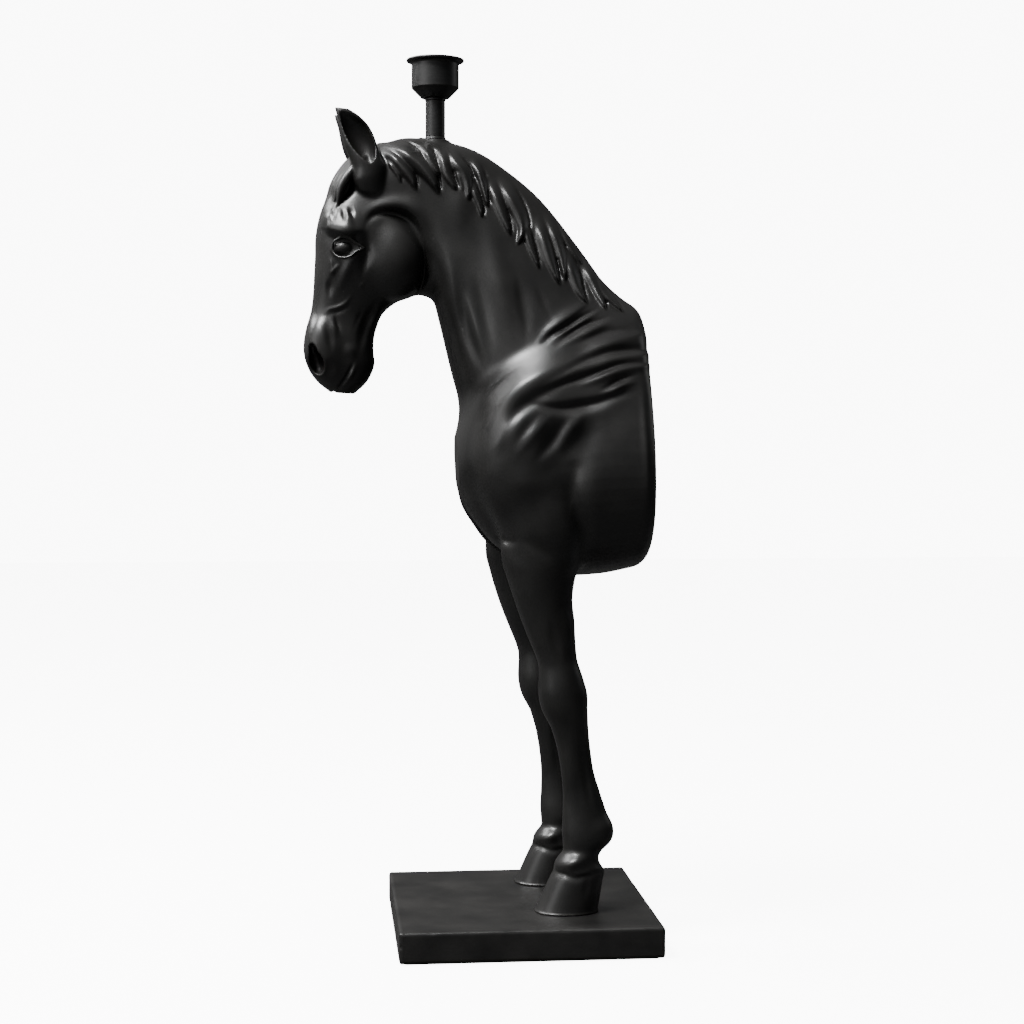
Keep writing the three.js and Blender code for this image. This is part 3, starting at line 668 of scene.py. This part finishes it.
# ---- materials
def add_node(tree, kind, **values):
    """A new shader node, its sockets set to values or linked to outputs. A name's _ is a space."""
    node = tree.nodes.new("ShaderNode" + kind)
    for name, value in values.items():
        socket = node.inputs[name.replace("_", " ")]
        if isinstance(value, bpy.types.NodeSocket):
            tree.links.new(value, socket)
        else:
            socket.default_value = value
    return node


def finish(name, dark, light, rough, metal=0.0, blotch=40, grain=900, deep=0.05, stretch=(1, 1, 1)):
    """A material whose colour and roughness drift in soft blotches, under a fine grain.

    blotch and grain are noise scales per metre, deep is the grain's depth in mm, and rough is
    the lowest and highest roughness.
    """
    material = bpy.data.materials.new(name)
    material.use_nodes = True
    tree = material.node_tree
    shader = tree.nodes["Principled BSDF"]
    shader.inputs["Metallic"].default_value = metal
    place = add_node(tree, "TexCoord").outputs["Object"]
    spread = add_node(tree, "Mapping", Scale=stretch, Vector=place).outputs[0]
    soft = add_node(tree, "TexNoise", Scale=blotch, Detail=5, Vector=spread).outputs["Fac"]
    fine = add_node(tree, "TexNoise", Scale=grain, Detail=3, Vector=spread).outputs["Fac"]
    colour = add_node(tree, "ValToRGB", Fac=soft)
    first, last = colour.color_ramp.elements
    first.position, first.color = 0.32, (*dark, 1)
    last.position, last.color = 0.7, (*light, 1)
    level = add_node(
        tree, "MapRange", Value=soft, From_Min=0.3, From_Max=0.7, To_Min=rough[0], To_Max=rough[1]
    )
    bump = add_node(tree, "Bump", Distance=deep * MM, Strength=1.0, Height=fine)
    tree.links.new(colour.outputs["Color"], shader.inputs["Base Color"])
    tree.links.new(level.outputs[0], shader.inputs["Roughness"])
    tree.links.new(bump.outputs["Normal"], shader.inputs["Normal"])
    return material


LOOK = {  # the finishes, by the record's material slots
    "horse_black": finish(
        "resin", (0.005, 0.0048, 0.0046), (0.009, 0.0086, 0.008), (0.32, 0.4),
        blotch=28, grain=420, deep=0.04,
    ),
    "slab_black": finish(
        "slab", (0.003, 0.0028, 0.0026), (0.0095, 0.0088, 0.008), (0.38, 0.56),
        blotch=24, grain=1100, deep=0.12,
    ),
    "stem_black": finish(
        "stem", (0.0035, 0.0035, 0.0035), (0.007, 0.007, 0.007), (0.36, 0.44),
        blotch=120, grain=1500, deep=0.02, stretch=(1, 1, 6),
    ),
    "steel": finish(
        "zinc_steel", (0.42, 0.43, 0.44), (0.6, 0.61, 0.6), (0.24, 0.42), 1.0,
        blotch=260, grain=2600, deep=0.01,
    ),
    "brass": finish(
        "brass", (0.56, 0.38, 0.13), (0.76, 0.55, 0.24), (0.2, 0.38), 1.0,
        blotch=200, grain=2400, deep=0.01,
    ),
    "phenolic": finish(
        "phenolic", (0.009, 0.009, 0.009), (0.016, 0.015, 0.014), (0.26, 0.36),
        blotch=320, grain=2600, deep=0.01,
    ),
    "felt": finish(
        "felt", (0.008, 0.008, 0.009), (0.022, 0.022, 0.024), (0.9, 1.0),
        blotch=1400, grain=3800, deep=0.5, stretch=(1, 2, 1),
    ),
    "panel_board": finish(
        "hardboard", (0.028, 0.022, 0.016), (0.055, 0.042, 0.03), (0.62, 0.82),
        blotch=700, grain=2600, deep=0.15, stretch=(1, 1, 4),
    ),
    "flex": finish(
        "flex", (0.008, 0.008, 0.008), (0.014, 0.014, 0.014), (0.4, 0.5),
        blotch=300, grain=1800, deep=0.02,
    ),
}


# ---- pieces
def mesh_object(name, points, faces):
    """A new object of equal-sided faces, or of faces in lists where their sides differ."""
    data = bpy.data.meshes.new(name)
    if isinstance(faces, np.ndarray):
        sides = faces.shape[1]
        data.vertices.add(len(points))
        data.vertices.foreach_set("co", (np.asarray(points) * MM).ravel().astype(np.float32))
        data.loops.add(faces.size)
        data.loops.foreach_set("vertex_index", faces.ravel().astype(np.int32))
        data.polygons.add(len(faces))
        data.polygons.foreach_set("loop_start", np.arange(0, faces.size, sides, dtype=np.int32))
    else:
        data.from_pydata([tuple(q * MM for q in p) for p in points], [], faces)
    data.update(calc_edges=True)
    data.validate()
    data.shade_smooth()
    piece = bpy.data.objects.new(name, data)
    bpy.context.scene.collection.objects.link(piece)
    return piece


def cleaned(piece):
    """Merges points that coincide, and turns all faces out."""
    mesh = bmesh.new()
    mesh.from_mesh(piece.data)
    bmesh.ops.remove_doubles(mesh, verts=mesh.verts, dist=1e-7)
    loose = [v for v in mesh.verts if not v.link_faces]
    bmesh.ops.delete(mesh, geom=loose, context="VERTS")
    bmesh.ops.recalc_face_normals(mesh, faces=mesh.faces)
    mesh.to_mesh(piece.data)
    mesh.free()
    return piece


def stand_in(node, piece, slot, body="lamp", soft=0, angle=32):
    """Lets a piece stand for a CAD node, with its edges sharper than angle rounded by soft mm."""
    piece.data.materials.append(LOOK[slot])
    if soft:
        bevel = piece.modifiers.new("soft_edges", "BEVEL")
        bevel.width = soft * MM
        bevel.segments = 3
        bevel.limit_method = "ANGLE"
        bevel.angle_limit = math.radians(angle)
        bevel.harden_normals = True
    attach(piece, body)
    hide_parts(node)


def node_box(node):
    """The lowest and highest corner of a CAD node, in mm."""
    return (np.array(corner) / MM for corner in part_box(node))


def node_size(node):
    """A round CAD node's radius, and its lowest and highest z, in mm."""
    low, high = node_box(node)
    return (high[0] - low[0]) / 2, low[2], high[2]


def turned(name, outline, around=96, shape=None, along_y=None):
    """A body turned from a closed outline of [radius, z] about the stem's axis.

    shape(point number, angle) may add to a radius. along_y is a place x, y, z to lay the body
    at instead, with its axis along Y.
    """
    turn = np.linspace(0, 2 * math.pi, around, endpoint=False)
    rows = []
    for i, (radius, z) in enumerate(outline):
        r = np.full(around, float(radius))
        if shape:
            r += shape(i, turn)
        rows.append(np.stack([r * np.cos(turn), r * np.sin(turn), np.full(around, float(z))], 1))
    points, faces = np.vstack(rows), []
    n, m = len(outline), around
    for i in range(n):
        k = (i + 1) % n
        if outline[i][0] == 0 and outline[k][0] == 0:
            continue
        for j in range(m):
            q = (j + 1) % m
            corners = [i * m + j, i * m + q, k * m + q, k * m + j]
            if outline[i][0] == 0:
                corners.remove(i * m + q)
            if outline[k][0] == 0:
                corners.remove(k * m + q)
            faces.append(corners)
    if along_y is None:
        points = points + (0, STEM_Y, 0)
    else:
        points = points[:, [0, 2, 1]] * (-1, 1, 1) + along_y
    return cleaned(mesh_object(name, points.tolist(), faces))


def threaded(name, bore, wall, low, high, pitch, deep, rows=60, around=96):
    """A tube rolled with a round thread; wall is how thick it is."""
    z = np.linspace(low, high, rows)
    turn = np.linspace(0, 2 * math.pi, around, endpoint=False)
    fade = np.minimum(ramp(z, low, low + pitch), 1 - ramp(z, high - pitch, high))[:, None]
    wave = deep * fade * np.cos(2 * math.pi * z[:, None] / pitch - turn)
    rings = []
    for r, order in ((bore + wave, slice(None)), (bore + wall + wave, slice(None, None, -1))):
        ring = np.stack([r * np.cos(turn), STEM_Y + r * np.sin(turn), z[:, None] + 0 * r], 2)
        rings.append(ring[order])
    rings = np.concatenate(rings)
    n, m = len(rings), around
    i, j = np.meshgrid(np.arange(n), np.arange(m), indexing="ij")
    k, q = (i + 1) % n, (j + 1) % m
    faces = np.stack([i * m + j, k * m + j, k * m + q, i * m + q], 2).reshape(-1, 4)
    return cleaned(mesh_object(name, rings.reshape(-1, 3), faces))


MOST_TRIANGLES = 190000  # in the horse


def make_horse():
    points, quads = horse_mesh()
    horse = mesh_object("horse", points, quads)
    stand_in("horse_casting", horse, "horse_black")
    thin = horse.modifiers.new("fewer_faces", "DECIMATE")
    thin.ratio = min(1.0, MOST_TRIANGLES / (2 * len(quads)))


SLAB_EDGE = 2.6  # the radius of the slab's edges
SLAB_CELLS = 72


def slab_lines(half):
    """Places from -half to half: a few round the edges, and even ones between them."""
    edge = half - SLAB_EDGE * np.array([1.2, 0.75, 0.35, 0])
    even = np.linspace(-1, 1, SLAB_CELLS) * (half - 1.6 * SLAB_EDGE)
    return np.unique(np.concatenate([-edge, even, edge]))


def worn(point):
    """How far the slab's skin has worn back at a point, in mm."""
    wide = noise.noise(Vector(point) / 45)
    chip = noise.noise(Vector(point) / 7 + Vector((9, 4, 2)))
    return 0.28 + 0.26 * wide + 0.7 * max(chip - 0.42, 0) / 0.58


def make_slab():
    """The slab: a cast plate with rounded, worn and slightly wavy edges."""
    low, high = node_box("base_slab")
    middle, half = (low + high) / 2, (high - low) / 2
    lines = [slab_lines(h) for h in half]
    points, quads, start = [], [], 0
    for k in range(3):
        a, b = lines[(k + 1) % 3], lines[(k + 2) % 3]
        n, m = len(a), len(b)
        p, q = np.meshgrid(a, b, indexing="ij")
        i, j = np.meshgrid(np.arange(n - 1), np.arange(m - 1), indexing="ij")
        for side in (-1, 1):
            face = np.empty((n * m, 3))
            face[:, k] = side * half[k]
            face[:, (k + 1) % 3] = p.ravel()
            face[:, (k + 2) % 3] = q.ravel()
            points.append(face)
            first = start + i * m + j
            quads.append(np.stack([first, first + m, first + m + 1, first + 1], 2).reshape(-1, 4))
            start += n * m
    points, quads = np.vstack(points), np.vstack(quads)
    inner = np.clip(points, SLAB_EDGE - half, half - SLAB_EDGE)
    out = points - inner
    far = np.linalg.norm(out, axis=1, keepdims=True)
    wear = np.array([worn(p) for p in points + middle])[:, None]
    on_edge = ramp((np.abs(points) > half - SLAB_EDGE).sum(1, keepdims=True), 1, 2)
    reach = SLAB_EDGE - wear * (0.25 + on_edge)
    points = np.clip(inner + out / np.maximum(far, 1e-6) * reach + middle, low, high)
    stand_in("base_slab", cleaned(mesh_object("worn_slab", points, quads)), "slab_black")


STEM_HOLE = 5.3  # the radius of the hole up the stem


def make_stem():
    """The tube, the stepped collar under it and the ring over it."""
    r, low, high = node_size("stem_tube")
    wall = 1.5
    outline = [(r - wall, low), (r, low), (r, high), (r - wall, high)]
    stand_in("stem_tube", turned("stem_tube_looks", outline), "stem_black", soft=0.35)
    r, low, high = node_size("stem_collar")
    step = 0.5
    lip = high - low - 1.1
    outline = [
        (STEM_HOLE, low), (r, low), (r, low + lip * 0.45), (r - step, low + lip * 0.6),
        (r - step, low + lip), (r - 0.9, high), (STEM_HOLE, high),
    ]
    stand_in("stem_collar", turned("stem_collar_looks", outline), "stem_black", soft=0.22)
    r, low, high = node_size("stem_top_ring")
    outline = [(STEM_HOLE, low), (r, low), (r, high), (STEM_HOLE, high)]
    stand_in("stem_top_ring", turned("stem_ring_looks", outline), "stem_black", soft=0.5)


def make_cup():
    """The cup: a conical foot, a drawn body and a rolled lip."""
    lip, bottom, top = node_size("lamp_cup")
    neck, body, shoulder, wall, roll = 14, 23.8, 851, 1.2, 1.5
    turn = np.linspace(math.radians(-110), math.radians(100), 13)
    bead = [(lip - roll + roll * math.cos(t), top - roll + roll * math.sin(t)) for t in turn]
    outline = [
        (STEM_HOLE, bottom), (neck, bottom), (body, shoulder), (body, top - 5.2),
        (body + 0.9, top - 3.6), *bead, (body + 1.2, top - 0.5), (body - wall + 0.4, top - 2),
        (body - wall, top - 3.4), (body - wall, shoulder + 0.5), (neck - 0.5, bottom + wall),
        (STEM_HOLE, bottom + wall),
    ]
    stand_in("lamp_cup", turned("cup", outline, 128), "stem_black", soft=0.45, angle=20)


def make_holder():
    """The lampholder's moulded body with its outer thread, and its brass screw shell."""
    foot, low, top = node_size("lampholder_body")
    r, step, bore, floor, wire = 19.5, 860, 14.3, 856, 3.5
    pitch, deep = 2.2, 0.28
    heights = np.arange(step + 12.4, top - 1, pitch / 8)
    thread = [(r + deep * math.cos(2 * math.pi * (z - step) / pitch), z) for z in heights]
    outline = [
        (wire, low + 4), (9.4, low + 4), (9.4, low), (foot - 3, low), (foot, low + 5), (foot, step),
        (r, step), (r, step + 12.2), *thread, (r - 0.3, top - 0.8), (r - 0.8, top),
        (bore + 1.2, top), (bore, top - 1), (bore, floor), (wire, floor),
    ]
    holder = turned("holder_body", outline)
    stand_in("lampholder_body", holder, "phenolic", soft=0.25, angle=50)
    r, low, high = node_size("screw_shell")
    shell = threaded("threaded_shell", r - 0.7, 0.32, low, high, 3.62, 0.36)
    stand_in("screw_shell", shell, "brass")


def make_ring():
    """The shade ring: a skirt with fine ribs on a flange with twelve shallow grips."""
    r, low, high = node_size("shade_ring")
    inside, skirt, flange = 19.8, 21.3, 3.2
    outline = [
        (inside, low), (r, low), (r, low + flange), (skirt, low + flange + 0.6), (skirt, high),
        (inside, high),
    ]

    def ribbed(i, turn):
        if i in (3, 4):
            return 0.28 * np.cos(40 * turn)
        if i in (1, 2):
            return 0.25 * np.cos(12 * turn) - 0.25
        return 0

    ring = turned("ribbed_ring", outline, 240, ribbed)
    stand_in("shade_ring", ring, "phenolic", body="shade_ring", soft=0.18)


def make_contact():
    """The contact under the bulb: a small plunger with a domed top."""
    r, low, high = node_size("centre_contact")
    rise = 1.9
    turn = np.linspace(0, math.pi / 2, 8)[:-1]
    dome = [(r * math.cos(t), high - rise + rise * math.sin(t)) for t in turn]
    outline = [(0, low), (r - 0.4, low), (r - 0.4, low + 1.2), (r, low + 1.4), *dome, (0, high)]
    stand_in("centre_contact", turned("plunger", outline, 64), "brass", body="centre_contact")


def make_panel():
    """The back panel, a little smaller than the pocket it lies in."""
    low, high = node_box("back_panel")
    sections = [(y, POCKET[0][1], y, *POCKET[0][3:]) for y in (low[1], high[1])]
    rings = ovals(sections, 1, 160, POCKET_INSET + 0.6)
    m = len(rings[0])
    faces = [list(range(m)), list(range(2 * m - 1, m - 1, -1))]
    faces += [[j, (j + 1) % m, m + (j + 1) % m, m + j] for j in range(m)]
    panel = cleaned(mesh_object("panel_plate", np.vstack([rings[0], rings[-1]]).tolist(), faces))
    stand_in("back_panel", panel, "panel_board", soft=0.7)


def make_gland():
    """The cable gland through the panel, with grips on its flange."""
    low, high = node_box("cable_gland")
    at = ((low[0] + high[0]) / 2, high[1], (low[2] + high[2]) / 2)
    flange, bore, barrel, inner = (high[2] - low[2]) / 2, 3.1, 5.5, low[1] - high[1]
    outline = [
        (bore, inner), (barrel, inner), (barrel, -2.5), (flange, -2.5), (flange, -1.2),
        (barrel + 0.5, 0), (bore + 0.6, 0), (bore, -0.6),
    ]

    def gripped(i, turn):
        return 0.5 * np.cos(16 * turn) - 0.5 if i in (3, 4) else 0

    stand_in("cable_gland", turned("gland_body", outline, 128, gripped, at), "phenolic", soft=0.3)


SCREW_HEAD_R, SCREW_STEM_R, SCREW_LENGTH = 3.3, 1.55, 7.8
TERMINAL_SCALE = 0.78  # the terminals' screws, against the panel's


def screw(slots):
    """A screw with its top at z = 0, and one slot or two crossed."""
    clay = Clay((0, -4, -8), (4, 4, 1), 0.15, 2)
    cut, x, y, z = clay.window((-1, -5, -9), (5, 5, 2))
    r = np.sqrt(x**2 + y**2)
    dome = np.sqrt(x**2 + y**2 + (z + 9.2) ** 2) - 9.2
    cone = 0.7 * (r - z) - 2.48
    head = np.maximum(np.maximum(r - SCREW_HEAD_R, dome), np.maximum(cone, -2.2 - z))
    stem = np.maximum(r - SCREW_STEM_R, np.maximum(z + 1, -SCREW_LENGTH - z))
    clay.f[cut] = blend_union(head, stem, 0.2)
    reach = 4 if slots == 1 else 1.9
    for across, along in ((y, x), (x, y))[:slots]:
        groove = np.maximum(np.maximum(np.abs(across) - 0.4, np.abs(along) - reach), -1.3 - z)
        clay.f[cut] = np.maximum(clay.f[cut], -groove)
    return clay.mesh()


def make_screws():
    """Cross-headed screws in the panel, and the lampholder's slotted terminals."""
    points, quads = screw(2)
    lying = points[:, [0, 2, 1]] * (-1, 1, 1)
    for k in (1, 2, 3, 4):
        node = f"panel_screw_{k}"
        low, high = node_box(node)
        at = ((low[0] + high[0]) / 2, high[1], (low[2] + high[2]) / 2)
        stand_in(node, mesh_object(f"cross_screw_{k}", lying + at, quads), "steel")
    points, quads = screw(1)
    for k in (1, 2):
        node = f"terminal_screw_{k}"
        low, high = node_box(node)
        at = ((low[0] + high[0]) / 2, (low[1] + high[1]) / 2, high[2])
        piece = mesh_object(f"slotted_screw_{k}", points * TERMINAL_SCALE + at, quads)
        stand_in(node, piece, "brass")


KEPT = {  # the CAD nodes that stay, by their finish
    "steel": [
        "threaded_nipple", "neck_washer", "neck_nut", "cup_washer", "cup_nut",
        "stud_left", "stud_washer_left", "stud_nut_left",
        "stud_right", "stud_washer_right", "stud_nut_right",
    ],
    "phenolic": ["gland_nut"],
    "felt": ["felt_sheet"],
    "flex": ["inner_flex"],
}


def dress_frame():
    for slot, nodes in KEPT.items():
        for node in nodes:
            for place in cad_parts[node].material_slots:
                place.material = LOOK[slot]


make_horse()
make_slab()
make_stem()
make_cup()
make_holder()
make_ring()
make_contact()
make_panel()
make_gland()
make_screws()
dress_frame()


# ---- stage
LIGHTS = [  # name, place, what it points at, size and power
    ("key", (0.75, -1.15, 2.6), (0, 0, 0.6), 0.85, 140),
    ("front", (1.2, -2.4, 1.4), (0, 0, 0.5), 1.6, 14),
    ("far", (-0.75, -1.75, 2.2), (0, 0, 0.6), 1.0, 62),
    ("back", (-0.7, 2.4, 1.4), (0, 0, 0.5), 1.2, 3),
]
WHITE = 10.0  # how bright the background is
CAMERA_PLACE = (2.022, -0.203, 0.503)
CAMERA_YAW, CAMERA_PITCH = 5.55, 2.2  # degrees away from -X and down
CAMERA_LENS = 70.3125  # mm, on a sensor 36 mm wide
FLOOR_HALF = 6000


def make_camera():
    camera = bpy.data.objects.new("camera", bpy.data.cameras.new("camera"))
    bpy.context.scene.collection.objects.link(camera)
    camera.location = CAMERA_PLACE
    yaw, pitch = math.radians(CAMERA_YAW), math.radians(CAMERA_PITCH)
    level = Vector((-math.cos(yaw), math.sin(yaw), 0)) * math.cos(pitch)
    ahead = level - Vector((0, 0, math.sin(pitch)))
    camera.rotation_euler = ahead.to_track_quat("-Z", "Y").to_euler()
    camera.data.sensor_width = 36
    camera.data.lens = CAMERA_LENS
    bpy.context.scene.camera = camera


def make_lights():
    for name, place, aim, size, power in LIGHTS:
        data = bpy.data.lights.new(name, "AREA")
        data.shape = "DISK"
        data.size, data.energy = size, power
        light = bpy.data.objects.new(name, data)
        light.location = place
        light.rotation_euler = (Vector(aim) - light.location).to_track_quat("-Z", "Y").to_euler()
        bpy.context.scene.collection.objects.link(light)


def make_floor():
    """A pale floor that looks as white as the background, and throws little light back."""
    material = bpy.data.materials.new("pale_floor")
    material.use_nodes = True
    tree = material.node_tree
    tree.nodes.clear()
    seen = add_node(tree, "LightPath").outputs["Is Camera Ray"]
    glow = add_node(tree, "Emission", Strength=WHITE - 1.2)
    pale = add_node(tree, "BsdfDiffuse", Color=(0.95, 0.95, 0.95, 1))
    dim = add_node(tree, "BsdfDiffuse", Color=(0.06, 0.06, 0.06, 1))
    both = add_node(tree, "AddShader")
    mix = add_node(tree, "MixShader", Fac=seen)
    link = tree.links.new
    link(glow.outputs[0], both.inputs[0])
    link(pale.outputs[0], both.inputs[1])
    link(dim.outputs[0], mix.inputs[1])
    link(both.outputs[0], mix.inputs[2])
    add_node(tree, "OutputMaterial", Surface=mix.outputs[0])
    corners = FLOOR_HALF * np.array([(-1, -1, 0), (1, -1, 0), (1, 1, 0), (-1, 1, 0)])
    floor = mesh_object("floor", corners, np.array([[0, 1, 2, 3]]))
    floor.data.materials.append(material)


def make_world():
    """White to the eye, and to the object a dim room that is lighter above and in front."""
    world = bpy.data.worlds.new("studio")
    bpy.context.scene.world = world
    world.use_nodes = True
    tree = world.node_tree
    tree.nodes.clear()
    place = add_node(tree, "TexCoord").outputs["Generated"]
    lean = add_node(tree, "VectorMath")
    lean.operation = "DOT_PRODUCT"
    tree.links.new(place, lean.inputs[0])
    lean.inputs[1].default_value = (0.1, -0.62, 0.78)
    facing = lean.outputs["Value"]
    level = add_node(
        tree, "MapRange", Value=facing, From_Min=-0.3, From_Max=1.0, To_Min=0.05, To_Max=0.6
    )
    level.interpolation_type = "SMOOTHSTEP"
    room = add_node(tree, "Background", Color=(1, 1, 1, 1), Strength=level.outputs[0])
    white = add_node(tree, "Background", Color=(1, 1, 1, 1), Strength=WHITE)
    seen = add_node(tree, "LightPath").outputs["Is Camera Ray"]
    mix = add_node(tree, "MixShader", Fac=seen)
    tree.links.new(room.outputs[0], mix.inputs[1])
    tree.links.new(white.outputs[0], mix.inputs[2])
    add_node(tree, "OutputWorld", Surface=mix.outputs[0])


make_floor()
make_world()
make_camera()
make_lights()
